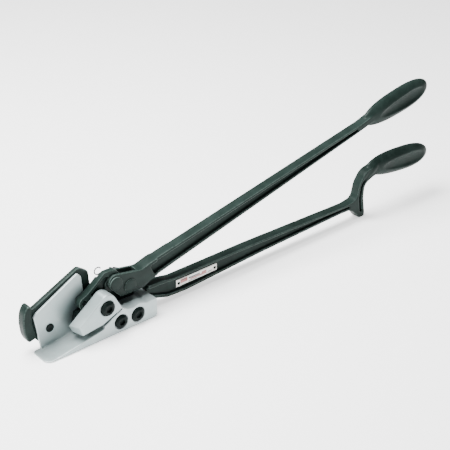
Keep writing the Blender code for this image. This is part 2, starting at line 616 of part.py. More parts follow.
def make_fasteners():
    seat = SHOE_NEAR + COUNTERBORE_DEPTH - FIT
    dog_floor = DOG_NEAR + DOG_SEAT_DEPTH
    button_screw("shoe_screw_front", FRONT_SCREW, 8.4, 4.8, seat, FRAME_FAR + 0.6, 4.2)
    button_screw("shoe_screw_rear", REAR_SCREW, 8.9, 4.8, seat, FRAME_FAR + 0.6, 4.4)
    button_screw("dog_screw", DOG_PIVOT, 9.2, 4.8, dog_floor - 1.3, WEB_FAR + 0.1, 4.4)
    bushing("dog_spring_washer", DOG_PIVOT, 8.8, SCREW_SHANK_RADIUS + FIT, dog_floor - 1.0,
            dog_floor - 0.3, SPRING_STEEL)
    bushing("dog_bushing", DOG_PIVOT, DOG_BUSH_RADIUS, SCREW_SHANK_RADIUS + FIT, dog_floor + 0.1,
            DOG_FAR - 0.1, PIN_STEEL)

    headed_pin("main_pivot_pin", MAIN_PIVOT, PIVOT_PIN_RADIUS, 2.2, PIN_END, 8.2, 0.2, ENAMEL)
    bushing("main_pivot_spacer", MAIN_PIVOT, 8.9, PIVOT_PIN_RADIUS + FIT, ARM_NEAR, ARM_FAR, PIN_STEEL)
    bushing("main_pivot_washer", MAIN_PIVOT, WASHER_RADIUS, PIVOT_PIN_RADIUS + FIT, *WASHER, OXIDE)
    nut = rod("main_pivot_nut", NUT_RADIUS, *NUT, MAIN_PIVOT, TOOL, OXIDE, 6)
    hole(nut, "nut_bore", PIVOT_PIN_RADIUS + FIT, 26.0, 40.0, MAIN_PIVOT)

    headed_pin("drive_pin", DRIVE_PIVOT, DRIVE_PIN_RADIUS, 2.2, FAR_EAR[1] - 0.2, 8.4, -0.2, ENAMEL)
    bushing("arm_bushing", DRIVE_PIVOT, ARM_BUSH_RADIUS, DRIVE_PIN_RADIUS + FIT, ARM_NEAR + 0.1,
            SPRING_Y - SPRING_WIRE - 0.2, PIN_STEEL)
    rod("jaw_pin", JAW_PIN_RADIUS, ARM_NEAR + 0.1, ARM_FAR - 0.1, JAW_PIVOT, TOOL, PIN_STEEL, 20)

    shank, head = NOSE_RIVET_RADIUS, NOSE_RIVET_HEAD_RADIUS
    rivet = [(0.0, FRAME_FAR + 1.7), (3.0, FRAME_FAR + 1.7), (head, FRAME_FAR + 0.4),
             (shank, FRAME_FAR + 0.4), (shank, PLATE_NEAR - FIT), (head, PLATE_NEAR - FIT),
             (head - 0.8, PLATE_NEAR - 1.3),
             (0.0, PLATE_NEAR - 1.6)]
    turned("nose_rivet", rivet, NOSE_RIVET, TOOL, OXIDE)


# --- nameplate -----------------------------------------------------------------

def make_nameplate():
    back = HANDLE_MID - BEAM_WEB / 2 - FIT
    front = back - 0.7
    side = [(190.6, 12.6, 0.8), (190.6, 22.4, 0.8), (254.4, 22.6, 0.8), (254.4, 13.6, 0.8)]
    plate = slab("nameplate", side, front, back, TOOL, LABEL)
    for label, axis in zip(("front", "rear"), NAMEPLATE_RIVETS):
        hole(plate, "nameplate_hole_" + label, PLATE_RIVET_RADIUS + FIT, front - 2.0, back + 2.0, axis, 10)
        profile = [(0.0, 10.5), (PLATE_RIVET_RADIUS, 10.5), (PLATE_RIVET_RADIUS, front - FIT),
                   (PLATE_RIVET_HEAD_RADIUS, front - FIT), (1.3, front - 0.9), (0.0, front - 1.1)]
        turned("nameplate_rivet_" + label, profile, axis, TOOL, PIN_STEEL)
    return plate


make_base_shoe()
make_lower_handle_frame()
make_upper_handle()
make_gripper_arm()
make_gripper_jaw()
make_arm_spring()
make_holding_dog()
make_fasteners()
make_nameplate()
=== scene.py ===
"""Looks of the strap tensioner: fine surfaces, materials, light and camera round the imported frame.

Lengths are in millimetres in the tool's own layout until place() turns them into the frame's
metres. X runs from the nose to the grips, Y across the tool and Z up from the sole.
"""
import math

import bmesh
import bpy
from mathutils import Matrix, Vector


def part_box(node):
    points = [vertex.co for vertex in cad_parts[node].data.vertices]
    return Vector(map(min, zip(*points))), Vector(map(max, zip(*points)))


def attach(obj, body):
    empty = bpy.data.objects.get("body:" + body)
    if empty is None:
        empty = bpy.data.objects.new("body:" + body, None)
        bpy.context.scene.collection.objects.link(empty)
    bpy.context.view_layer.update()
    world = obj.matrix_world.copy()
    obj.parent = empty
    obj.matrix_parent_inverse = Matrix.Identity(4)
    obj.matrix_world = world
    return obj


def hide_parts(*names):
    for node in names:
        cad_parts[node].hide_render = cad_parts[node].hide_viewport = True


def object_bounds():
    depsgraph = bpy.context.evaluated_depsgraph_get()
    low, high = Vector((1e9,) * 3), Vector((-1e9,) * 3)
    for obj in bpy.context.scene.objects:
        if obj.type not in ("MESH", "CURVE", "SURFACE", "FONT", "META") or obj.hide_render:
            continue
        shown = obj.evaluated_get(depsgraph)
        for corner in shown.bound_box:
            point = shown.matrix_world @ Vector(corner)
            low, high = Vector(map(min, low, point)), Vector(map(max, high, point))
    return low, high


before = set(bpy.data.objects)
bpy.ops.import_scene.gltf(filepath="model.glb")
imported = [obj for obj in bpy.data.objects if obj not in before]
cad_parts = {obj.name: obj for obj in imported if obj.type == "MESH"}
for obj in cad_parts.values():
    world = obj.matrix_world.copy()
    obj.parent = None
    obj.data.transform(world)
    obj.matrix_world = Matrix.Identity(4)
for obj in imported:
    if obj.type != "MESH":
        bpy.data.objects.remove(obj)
CAD_LOW, CAD_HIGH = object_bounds()

MM = 0.001
ORIGIN_X = 70.0            # the frame's origin is at the middle of the sole
ORIGIN_Y = 3.6
ARC_STEP = math.radians(5.0)
ROUND_STEPS = 72

# Layers across the tool, near side first, as in the frame.
SHOE_NEAR = -12.0
SHOE_FAR = 19.2
DOG_NEAR = -11.0
DOG_FAR = 2.2
DOG_RIM_FAR = 5.9
WEB_NEAR = 2.5
WEB_FAR = 5.7
NEAR_EAR = (2.5, 6.0)
ARM_NEAR = 6.4
ARM_FAR = 15.6
FAR_EAR = (16.0, 19.5)
PLATE_NEAR = 16.2
PLATE_FAR = 19.4
FRAME_NEAR = 19.8
FRAME_FAR = 26.3
HANDLE_MID = 11.0
BEAM_NEAR = 4.0
BEAM_FAR = 18.0
BEAM_WEB = 5.0

# Axes, as (x, z).
MAIN_PIVOT = (119.5, 46.5)
DRIVE_PIVOT = (100.0, 56.5)
JAW_PIVOT = (59.2, 44.5)
DOG_PIVOT = (78.2, 38.4)
FRONT_SCREW = (95.4, 13.8)
REAR_SCREW = (119.2, 14.0)
NOSE_RIVET = (17.6, 25.0)
NAMEPLATE_RIVETS = ((194.2, 17.2), (250.8, 18.0))

FIT = 0.3
PIVOT_PIN_RADIUS = 6.0
DRIVE_PIN_RADIUS = 5.5
JAW_PIN_RADIUS = 3.0
SCREW_SHANK_RADIUS = 5.0
DOG_BUSH_RADIUS = 7.0
ARM_BUSH_RADIUS = 7.4
PLATE_RIVET_RADIUS = 1.1
PLATE_RIVET_HEAD_RADIUS = 1.9
PLATE_RIVET_END = 10.5
NOSE_RIVET_RADIUS = 4.0
NOSE_RIVET_HEAD_RADIUS = 5.2
NUT_NEAR = 28.7
NUT_FAR = 35.6
NUT_RADIUS = 10.6          # from its axis to a corner, before the crown is turned


# --- shapes ------------------------------------------------------------------

def place(x, y, z):
    return Vector(((x - ORIGIN_X) * MM, (y - ORIGIN_Y) * MM, z * MM))


def add_mesh(name, mesh):
    item = bpy.data.objects.new(name, mesh)
    bpy.context.scene.collection.objects.link(item)
    return item


def fillet(before, corner, after, radius):
    """The arc of the given radius that rounds one corner of an outline."""
    to_before = (before - corner).normalized()
    to_after = (after - corner).normalized()
    half = math.acos(max(-1.0, min(1.0, to_before.dot(to_after)))) / 2
    reach = radius / math.tan(half)
    centre = corner + (to_before + to_after).normalized() * radius / math.sin(half)
    start = corner + to_before * reach - centre
    sweep = start.angle_signed(corner + to_after * reach - centre)
    steps = max(1, math.ceil(abs(sweep) / ARC_STEP))
    turns = [Matrix.Rotation(-sweep * i / steps, 2) for i in range(steps + 1)]
    return [centre + turn @ start for turn in turns]


def rounded(outline):
    """An outline's points with its corners, given as (x, z, radius), made round."""
    corners = [Vector(point[:2]) for point in outline]
    points = []
    for i, point in enumerate(outline):
        if len(point) == 2:
            points.append(corners[i])
        else:
            points += fillet(corners[i - 1], corners[i], corners[(i + 1) % len(corners)], point[2])
    return points


def evaluated_mesh(item):
    bpy.context.view_layer.update()
    graph = bpy.context.evaluated_depsgraph_get()
    return bpy.data.meshes.new_from_object(item.evaluated_get(graph))


def slab(name, outline, near, far, edge=0.0, lying=False):
    """An outline in X and Z extruded across the tool, or in X and Y extruded upwards if lying."""
    curve = bpy.data.curves.new(name, "CURVE")
    curve.dimensions = "2D"
    curve.fill_mode = "BOTH"
    curve.extrude = ((far - near) / 2 - edge) * MM
    curve.bevel_depth = edge * MM
    curve.bevel_resolution = 2
    curve.offset = -edge * MM
    points = rounded(outline)
    spline = curve.splines.new("POLY")
    spline.points.add(len(points) - 1)
    for target, point in zip(spline.points, points):
        target.co = (point.x * MM, point.y * MM, 0.0, 1.0)
    spline.use_cyclic_u = True
    sketch = bpy.data.objects.new(name + "_sketch", curve)
    bpy.context.scene.collection.objects.link(sketch)
    mesh = evaluated_mesh(sketch)
    bpy.data.objects.remove(sketch, do_unlink=True)
    shape = bmesh.new()
    shape.from_mesh(mesh)
    bmesh.ops.remove_doubles(shape, verts=shape.verts, dist=0.000005)
    shape.to_mesh(mesh)
    shape.free()
    if lying:
        mesh.transform(Matrix.Translation(place(0.0, 0.0, (near + far) / 2)))
    else:
        mesh.transform(Matrix.Translation(place(0.0, (near + far) / 2, 0.0))
                       @ Matrix.Rotation(math.pi / 2, 4, "X"))
    return add_mesh(name, mesh)


def turned(name, profile, axis, steps=ROUND_STEPS):
    """A turned piece: (radius, y) from its far end to its near end, round axis."""
    mesh = bpy.data.meshes.new(name)
    points = [(radius * MM, 0.0, -y * MM) for radius, y in reversed(profile)]
    mesh.from_pydata(points, [(i, i + 1) for i in range(len(points) - 1)], [])
    sketch = add_mesh(name + "_sketch", mesh)
    screw = sketch.modifiers.new("turn", "SCREW")
    screw.steps = steps
    screw.render_steps = steps
    screw.use_merge_vertices = True
    screw.merge_threshold = 0.00001
    solid = evaluated_mesh(sketch)
    bpy.data.objects.remove(sketch, do_unlink=True)
    solid.transform(Matrix.Translation(place(axis[0], 0.0, axis[1]))
                    @ Matrix.Rotation(math.pi / 2, 4, "X"))
    return add_mesh(name, solid)


def rod(name, radius, near, far, axis, steps=ROUND_STEPS, turn=0.0):
    mesh = bpy.data.meshes.new(name)
    shape = bmesh.new()
    bmesh.ops.create_cone(shape, cap_ends=True, segments=steps, radius1=radius * MM,
                          radius2=radius * MM, depth=(far - near) * MM)
    shape.to_mesh(mesh)
    shape.free()
    mesh.transform(Matrix.Translation(place(axis[0], (near + far) / 2, axis[1]))
                   @ Matrix.Rotation(math.pi / 2, 4, "X") @ Matrix.Rotation(turn, 4, "Z"))
    return add_mesh(name, mesh)


SHOULDER = 2.6             # powers of the grips' oval: 2 and 2 would make an ellipse
BLUNTNESS = 2.2


def egg(name, centre, half_sizes, angle, fullness):
    """An ellipsoid, tilted in the plane of the handles and fuller at its outer end."""
    mesh = bpy.data.meshes.new(name)
    shape = bmesh.new()
    bmesh.ops.create_uvsphere(shape, u_segments=96, v_segments=64, radius=1.0,
                              matrix=Matrix.Rotation(math.pi / 2, 4, "Y"))
    for vertex in shape.verts:
        along = min(abs(vertex.co.x), 0.999)
        blunt = (1.0 - along ** SHOULDER) ** (1.0 / BLUNTNESS) / math.sqrt(1.0 - along ** 2)
        swell = blunt * (1.0 + fullness * vertex.co.x)
        vertex.co.x *= half_sizes[0] * MM
        vertex.co.y *= half_sizes[1] * swell * MM
        vertex.co.z *= half_sizes[2] * swell * MM
    shape.to_mesh(mesh)
    shape.free()
    mesh.transform(Matrix.Translation(place(*centre))
                   @ Matrix.Rotation(-math.radians(angle), 4, "Y"))
    return add_mesh(name, mesh)


def combine(target, operation, *tools):
    for tool in tools:
        boolean = target.modifiers.new(tool.name, "BOOLEAN")
        boolean.operation = operation
        boolean.object = tool


def cut(target, *tools):
    combine(target, "DIFFERENCE", *tools)


def join(target, *tools):
    combine(target, "UNION", *tools)


def bore(target, name, radius, near, far, axis, steps=ROUND_STEPS):
    cut(target, rod(name, radius, near, far, axis, steps))


def settle(item, grain=None, softening=0):
    """Apply a piece's modifiers. With a grain, its skin is remeshed and its edges melt a little."""
    tools = [modifier.object for modifier in item.modifiers if modifier.type == "BOOLEAN"]
    if grain:
        skin = item.modifiers.new("skin", "REMESH")
        skin.mode = "VOXEL"
        skin.voxel_size = grain * MM
        skin.use_smooth_shade = True
        soft = item.modifiers.new("soft_edges", "SMOOTH")
        soft.factor = 0.5
        soft.iterations = softening
    mesh = evaluated_mesh(item)
    item.modifiers.clear()
    item.data = mesh
    mesh.shade_smooth()
    if not grain:
        mesh.set_sharp_from_angle(angle=math.radians(32.0))
    for tool in tools:
        bpy.data.objects.remove(tool, do_unlink=True)
    return item


def show(piece, look, slot, body, *nodes):
    """Give a piece its material and body, and let it stand for its CAD nodes."""
    piece.data.materials.clear()
    piece.data.materials.append(look)
    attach(piece, body)
    if nodes:
        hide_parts(*nodes)
    return piece


# --- materials ---------------------------------------------------------------

class Look:
    """One procedural material, built node by node in the piece's own coordinates."""

    def __init__(self, name, metallic, **sockets):
        self.material = bpy.data.materials.new(name)
        self.material.use_nodes = True
        self.tree = self.material.node_tree
        self.shader = self.tree.nodes["Principled BSDF"]
        self.shader.inputs["Metallic"].default_value = metallic
        for socket, value in sockets.items():
            self.shader.inputs[socket.replace("_", " ")].default_value = value
        self.place = self.tree.nodes.new("ShaderNodeTexCoord").outputs["Object"]

    def node(self, kind, **inputs):
        made = self.tree.nodes.new(kind)
        for name, value in inputs.items():
            self.feed(value, made.inputs[name.replace("_", " ")])
        return made

    def feed(self, value, socket):
        if isinstance(value, bpy.types.NodeSocket):
            self.tree.links.new(value, socket)
        else:
            socket.default_value = value

    def stretched(self, scale):
        mapping = self.node("ShaderNodeMapping", Vector=self.place, Scale=scale)
        return mapping.outputs["Vector"]

    def noise(self, scale, detail=4.0, roughness=0.55, stretch=None, distortion=0.0):
        where = self.stretched(stretch) if stretch else self.place
        made = self.node("ShaderNodeTexNoise", Vector=where, Scale=scale, Detail=detail,
                         Roughness=roughness, Distortion=distortion)
        return made.outputs["Fac"]

    def cells(self, scale, randomness=1.0):
        made = self.node("ShaderNodeTexVoronoi", Vector=self.place, Scale=scale,
                         Randomness=randomness)
        return made.outputs["Distance"]

    def span(self, value, low, high, to_low=0.0, to_high=1.0):
        made = self.node("ShaderNodeMapRange")
        made.interpolation_type = "SMOOTHSTEP"
        for i, item in enumerate((value, low, high, to_low, to_high)):
            self.feed(item, made.inputs[i])
        return made.outputs[0]

    def maths(self, operation, first, second):
        made = self.tree.nodes.new("ShaderNodeMath")
        made.operation = operation
        self.feed(first, made.inputs[0])
        self.feed(second, made.inputs[1])
        return made.outputs[0]

    def blend(self, share, first, second):
        made = self.tree.nodes.new("ShaderNodeMix")
        made.data_type = "RGBA"
        self.feed(share, made.inputs["Factor"])
        for colour, socket in ((first, made.inputs[6]), (second, made.inputs[7])):
            self.feed(colour if isinstance(colour, bpy.types.NodeSocket) else (*colour, 1.0), socket)
        return made.outputs[2]

    def edges(self, low, high):
        """0 on flats, 1 on sharp outer edges."""
        pointed = self.tree.nodes.new("ShaderNodeNewGeometry").outputs["Pointiness"]
        return self.span(pointed, low, high)

    def hollows(self, low, high):
        """1 in inner corners, 0 elsewhere."""
        pointed = self.tree.nodes.new("ShaderNodeNewGeometry").outputs["Pointiness"]
        return self.span(pointed, low, high, 1.0, 0.0)

    def relief(self, *layers):
        """Bump layers, each a height and its depth in millimetres."""
        normal = None
        for height, depth in layers:
            made = self.node("ShaderNodeBump", Height=height, Strength=1.0, Distance=depth * MM)
            if normal:
                self.feed(normal, made.inputs["Normal"])
            normal = made.outputs["Normal"]
        self.feed(normal, self.shader.inputs["Normal"])

    def finish(self, colour, roughness):
        self.feed(colour, self.shader.inputs["Base Color"])
        self.feed(roughness, self.shader.inputs["Roughness"])
        return self.material


def enamel_look():
    """Thick dark green-black enamel over a forging: cloudy, with a fine grain, rubbed edges and painted shade
    darkening its hollows.
    """
    look = Look("forging_enamel", 0.0, Coat_Weight=0.05, Coat_Roughness=0.20,
                Specular_IOR_Level=0.05)
    cloud = look.noise(38.0, 5.0, 0.6)
    grain = look.noise(700.0, 3.0, 0.6)
    peel = look.noise(230.0, 2.0, 0.5)
    base = look.blend(look.span(cloud, 0.35, 0.68), (0.0088, 0.0165, 0.0140), (0.0142, 0.0250, 0.0216))
    rubbed = look.maths("MULTIPLY", look.edges(0.512, 0.55), look.span(grain, 0.35, 0.6, 0.35, 1.0))
    colour = look.blend(rubbed, base, (0.075, 0.104, 0.094))
    # painted shade: inner corners and hollows of the enamel are darkened to near black
    hollow_shade_mask = look.maths("MULTIPLY", look.hollows(0.455, 0.495), 0.75)
    hollow_shaded_colour = look.blend(hollow_shade_mask, colour, (0.003, 0.005, 0.005))
    roughness = look.span(cloud, 0.3, 0.7, 0.34, 0.50)
    look.relief((peel, 0.08), (grain, 0.05))
    return look.finish(hollow_shaded_colour, roughness)


def satin_look(name, shade=None):
    """Blasted, plated cast steel: pale, slightly cool, with painted shade greying its hollows.

    A shade is the centre and reach, in metres, of a round patch painted darker as painted shade, standing in
    for the dark reflection on the side plate.
    """
    look = Look(name, 0.42, Specular_IOR_Level=0.5)
    cloud = look.noise(30.0, 4.0, 0.55)
    smear = look.noise(16.0, 3.0, 0.5, stretch=(1.0, 3.0, 2.2), distortion=0.6)
    grain = look.noise(1500.0, 2.0, 0.6)
    pits = look.cells(420.0)
    base = look.blend(look.span(cloud, 0.35, 0.7), (0.29, 0.355, 0.355), (0.37, 0.425, 0.425))
    base = look.blend(look.maths("MULTIPLY", look.span(smear, 0.52, 0.72), 0.35), base, (0.26, 0.33, 0.34))
    # painted shade: hollows and inner corners are darkened towards grey-green
    base = look.blend(look.maths("MULTIPLY", look.hollows(0.44, 0.49), 0.55), base, (0.11, 0.15, 0.155))
    if shade:
        # painted shade: a round patch about the given centre is darkened in place of a reflection
        away = look.tree.nodes.new("ShaderNodeVectorMath")
        away.operation = "DISTANCE"
        look.feed(look.place, away.inputs[0])
        look.feed(shade[0], away.inputs[1])
        painted_shade_share = look.span(away.outputs["Value"], shade[1] * 0.25, shade[1], 0.85, 0.0)
        base = look.blend(painted_shade_share, base, (0.035, 0.055, 0.058))
    colour = look.blend(look.maths("MULTIPLY", look.edges(0.515, 0.57), 0.6), base, (0.80, 0.83, 0.82))
    grainy = look.maths("ADD", cloud, look.maths("MULTIPLY", grain, 0.3))
    roughness = look.span(grainy, 0.45, 0.85, 0.30, 0.46)
    look.relief((pits, 0.035), (grain, 0.02))
    return look.finish(colour, roughness)


def oxide_look():
    """Black-oxide steel: nearly black, oily, lighter where it is handled."""
    look = Look("screw_black_oxide", 0.0, Coat_Weight=0.03, Coat_Roughness=0.12, Specular_IOR_Level=0.03)
    cloud = look.noise(160.0, 4.0, 0.6)
    grain = look.noise(2200.0, 2.0, 0.6)
    base = look.blend(look.span(cloud, 0.35, 0.7), (0.003, 0.006, 0.0055), (0.007, 0.011, 0.010))
    colour = look.blend(look.maths("MULTIPLY", look.edges(0.56, 0.66), 0.4), base, (0.05, 0.06, 0.06))
    look.relief((grain, 0.012),)
    return look.finish(colour, look.span(cloud, 0.3, 0.7, 0.20, 0.34))


def ground_look(name, pale, dark, stretch):
    """Turned or drawn bright steel, with fine lines along one direction."""
    look = Look(name, 0.95)
    lines = look.noise(500.0, 3.0, 0.6, stretch=stretch)
    cloud = look.noise(90.0, 3.0, 0.5)
    colour = look.blend(look.span(cloud, 0.3, 0.7), dark, pale)
    look.relief((lines, 0.02),)
    return look.finish(colour, look.span(lines, 0.3, 0.7, 0.20, 0.38))


def label_look(low, high):
    """Printed aluminium: an off-white field with generic red and black bars."""
    look = Look("nameplate_print", 0.15, Coat_Weight=0.3, Coat_Roughness=0.15)
    split = look.node("ShaderNodeSeparateXYZ", Vector=look.place)
    along = look.span(split.outputs["X"], low.x, high.x)
    up = look.span(split.outputs["Z"], low.z, high.z)
    for made in (along, up):
        made.node.interpolation_type = "LINEAR"

    def inside(value, start, end):
        return look.maths("MULTIPLY", look.maths("GREATER_THAN", value, start),
                          look.maths("LESS_THAN", value, end))

    def bar(left, right, bottom, top):
        return look.maths("MULTIPLY", inside(along, left, right), inside(up, bottom, top))

    scuffs = look.noise(260.0, 4.0, 0.65, stretch=(0.4, 1.0, 2.0))
    colour = look.blend(look.span(scuffs, 0.3, 0.75), (0.80, 0.79, 0.74), (0.66, 0.66, 0.62))
    black = (0.025, 0.028, 0.028)
    red = (0.30, 0.030, 0.028)
    prints = ((0.10, 0.27, 0.34, 0.88, red), (0.12, 0.25, 0.66, 0.82, black),
              (0.30, 0.58, 0.50, 0.72, black), (0.34, 0.74, 0.30, 0.48, red),
              (0.62, 0.74, 0.50, 0.72, red), (0.30, 0.50, 0.14, 0.24, black),
              (0.78, 0.88, 0.30, 0.40, black), (0.02, 0.98, 0.03, 0.07, black),
              (0.02, 0.98, 0.93, 0.97, black))
    worn = look.span(scuffs, 0.30, 0.72, 1.0, 0.80)
    for left, right, bottom, top, ink in prints:
        colour = look.blend(look.maths("MULTIPLY", bar(left, right, bottom, top), worn), colour, ink)
    look.relief((scuffs, 0.02),)
    return look.finish(colour, look.span(scuffs, 0.3, 0.7, 0.28, 0.42))


ENAMEL = enamel_look()
# the shoe's copy of the satin steel carries the painted shade patch; the dog's copy has none
SHOE_SATIN = satin_look("satin_shoe_steel", (place(61.0, 17.0, 36.0), 36.0 * MM))
DOG_SATIN = satin_look("satin_dog_steel")
OXIDE = oxide_look()
PIN_STEEL = ground_look("ground_pin_steel", (0.50, 0.52, 0.52), (0.33, 0.35, 0.35), (1.0, 9.0, 1.0))
WIRE_STEEL = ground_look("bright_spring_wire", (0.07, 0.075, 0.075), (0.03, 0.035, 0.035), (1.0, 1.0, 1.0))
LABEL = label_look(*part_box("nameplate"))


# --- shoe --------------------------------------------------------------------

SHOE_FRONT = -5.5
SHOE_REAR = 146.7
RELIEF_FLOOR = 20.5
CORNER_CLEARANCE = 0.05
COUNTERBORE_RADIUS = 9.6
COUNTERBORE_DEPTH = 2.2
DOG_SEAT_DEPTH = 1.6


def make_shoe():
    side = [(SHOE_FRONT, 0.0), (SHOE_REAR, 0.0, 5.0), (SHOE_REAR, 25.2, 1.2), (133.2, 24.6, 12.0),
            (124.5, 27.4, 12.0), (115.7, 25.8, 12.0), (105.6, 27.0, 8.0), (100.0, 30.2, 2.0),
            (85.3, 24.4), (72.6, 16.8, 0.8), (72.6, 13.7, 2.0), (70.6, 13.2), (8.0, 2.4), (SHOE_FRONT, 1.4)]
    shoe = slab("shoe_casting", side, SHOE_NEAR, SHOE_FAR, edge=0.3)
    beyond = 12.0
    corners = (("near", SHOE_NEAR, -1.0, 9.0), ("far", SHOE_FAR, 1.0, 4.0))
    for label, edge_y, out, radius in corners:
        inner = SHOE_FRONT + radius + 1.0
        corner = [(SHOE_FRONT - beyond, edge_y + out * beyond), (inner, edge_y + out * beyond),
                  (inner, edge_y + out * CORNER_CLEARANCE),
                  (SHOE_FRONT - CORNER_CLEARANCE, edge_y + out * CORNER_CLEARANCE, radius),
                  (SHOE_FRONT - CORNER_CLEARANCE, edge_y - out * (radius + 1.0)),
                  (SHOE_FRONT - beyond, edge_y - out * (radius + 1.0))]
        cut(shoe, slab("corner_" + label, corner, -5.0, 12.0, lying=True))

    relief = [(69.4, 13.7), (84.0, 16.6), (92.0, RELIEF_FLOOR), (134.0, RELIEF_FLOOR),
              (137.0, 30.0), (137.0, 60.0), (69.4, 60.0)]
    ear_relief = [(91.0, RELIEF_FLOOR), (134.0, RELIEF_FLOOR), (137.0, 30.0), (137.0, 60.0), (91.0, 60.0)]
    head_relief = [(90.6, 60.0), (90.6, 31.0), (95.0, 25.0, 4.0), (108.0, 25.0, 4.0), (111.6, 31.0),
                   (111.6, 60.0)]
    cut(shoe, slab("arm_relief", relief, WEB_FAR, SHOE_FAR + 5.0),
        slab("ear_relief", ear_relief, DOG_FAR, WEB_FAR + 1.0),
        slab("head_relief", head_relief, -0.7, DOG_FAR + 0.5))

    web = [(70.0, 6.0), (88.0, 6.0), (88.0, 24.0), (85.6, 38.0, 6.0), (84.4, 45.4, 5.0),
           (72.4, 45.4, 5.0), (71.0, 30.0)]
    plate = [(5.0, 0.8), (-1.3, 45.6, 1.5), (2.8, 49.8, 2.0), (59.0, 79.4, 2.5), (63.2, 74.0, 3.0),
             (64.6, 57.0, 15.0), (68.0, 32.0, 20.0), (80.0, 17.0, 8.0), (80.0, 0.8)]
    join(shoe, slab("dog_web", web, WEB_NEAR, WEB_FAR + 0.2),
         slab("side_plate", plate, PLATE_NEAR, PLATE_FAR, edge=0.3))
    for label, axis in (("front", FRONT_SCREW), ("rear", REAR_SCREW)):
        bore(shoe, label + "_bore", SCREW_SHANK_RADIUS + FIT, -20.0, 30.0, axis)
        bore(shoe, label + "_seat", COUNTERBORE_RADIUS, SHOE_NEAR - 3.0, SHOE_NEAR + COUNTERBORE_DEPTH,
             axis)
    bore(shoe, "dog_screw_bore", SCREW_SHANK_RADIUS + FIT, WEB_NEAR - 2.0, WEB_FAR + 2.0, DOG_PIVOT)
    bore(shoe, "nose_rivet_bore", NOSE_RIVET_RADIUS + FIT, PLATE_NEAR - 2.0, PLATE_FAR + 2.0,
         NOSE_RIVET)
    settle(shoe, grain=0.55, softening=3)
    return show(shoe, SHOE_SATIN, "satin_cast_steel", "frame", "base_shoe")


# --- lower handle and side frame ------------------------------------------------

BUMPER_FAR = 29.4
GRIP_HALF_THICKNESS = 10.5
GRIP_FULLNESS = 0.09
DISH_SHIFT = (5.0, -1.2)   # along the grip, then up
DISH_SHARE = (0.87, 0.60)  # of the grip's half length and half height
DISH_HALF_THICKNESS = 6.2
DISH_OVERHANG = 1.4
DISH_FULLNESS = 0.28


def sink(target, name, outline, side):
    """Sink a pocket into one side of a beam, down to its web."""
    half_web = BEAM_WEB / 2
    if side == "near":
        span = (BEAM_NEAR - 4.0, HANDLE_MID - half_web)
    else:
        span = (HANDLE_MID + half_web, BEAM_FAR + 4.0)
    cut(target, slab(name + "_" + side, outline, *span))


def beam_recess(target, name, outline):
    sink(target, name, outline, "near")
    sink(target, name, outline, "far")


def grip(target, name, centre, angle, half_length, half_height):
    """A flattened oval grip with a dished hollow on each side."""
    middle = (centre[0], HANDLE_MID, centre[1])
    half_sizes = (half_length, GRIP_HALF_THICKNESS, half_height)
    join(target, egg(name + "_body", middle, half_sizes, angle, GRIP_FULLNESS))
    dish_x = centre[0] + DISH_SHIFT[0] * math.cos(math.radians(angle))
    dish_z = centre[1] + DISH_SHIFT[0] * math.sin(math.radians(angle)) + DISH_SHIFT[1]
    dish_sizes = (half_length * DISH_SHARE[0], DISH_HALF_THICKNESS, half_height * DISH_SHARE[1])
    for label, out in (("near", -1.0), ("far", 1.0)):
        dish_y = HANDLE_MID + out * (GRIP_HALF_THICKNESS + DISH_OVERHANG)
        cut(target, egg(name + "_dish_" + label, (dish_x, dish_y, dish_z), dish_sizes, angle,
                        DISH_FULLNESS))


